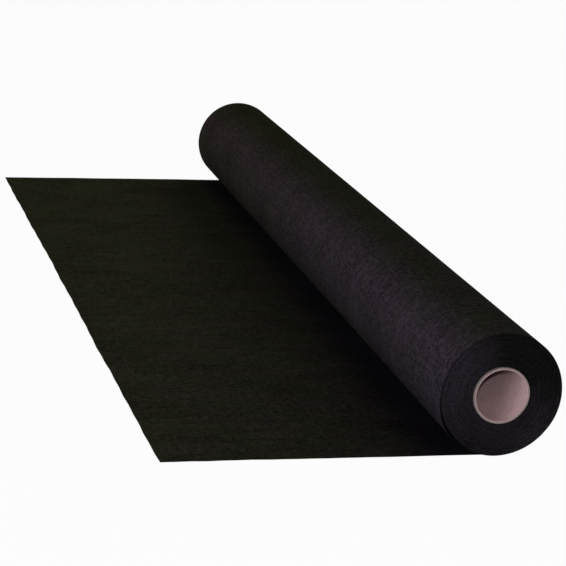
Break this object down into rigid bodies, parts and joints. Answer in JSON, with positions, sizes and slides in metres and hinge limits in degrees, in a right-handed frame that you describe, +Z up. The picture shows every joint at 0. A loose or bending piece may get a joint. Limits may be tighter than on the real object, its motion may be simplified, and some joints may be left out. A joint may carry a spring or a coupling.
{
  "type": "roll of agricultural fleece",
  "caption": "Roll of black nonwoven fleece wound on a paper core, lying on the ground with its first stretch laid out flat; the roll travels and turns to lay or take up fleece.",
  "frame": {"origin": "on the floor, in the middle of the part's footprint", "axes": "+X from the cut edge towards the roll, +Y along the roll away from its near end, +Z up"},
  "size_m": [0.5728, 1.605, 0.1671],
  "materials": {
    "fleece_laid": "matt black spunbond, faint olive cast",
    "fleece_rolled": "matt black spunbond, faint violet cast",
    "tape": "pale double-sided tape",
    "kraft_cover": "uncoated kraft paper",
    "board": "grey-pink core board, sawn ends",
    "kraft_liner": "uncoated kraft paper"
  },
  "bodies": {
    "laid_web": {"laid_sheet": "fleece_laid"},
    "peel_line": {"peel_strip": "fleece_laid"},
    "roll": {"outer_turns": "fleece_rolled", "wound_fleece": "fleece_rolled", "starter_tape": "tape", "core_cover": "kraft_cover", "core_board": "board", "core_liner": "kraft_liner"}
  },
  "joints": [
    {"name": "roll_travel", "type": "slide", "parent": "laid_web", "child": "peel_line", "axis": [1, 0, 0], "range_m": [-0.25, 1], "deforming": ["laid_sheet", "peel_strip"]},
    {"name": "roll_spin", "type": "hinge", "parent": "peel_line", "child": "roll", "pos_m": [0.20261, 0, 0.0835], "axis": [0, 1, 0], "range_deg": [-175, 690]}
  ],
  "couplings": [
    {"joint": "roll_spin", "follows": "roll_travel", "rad_per_m": 11.976}
  ]
}
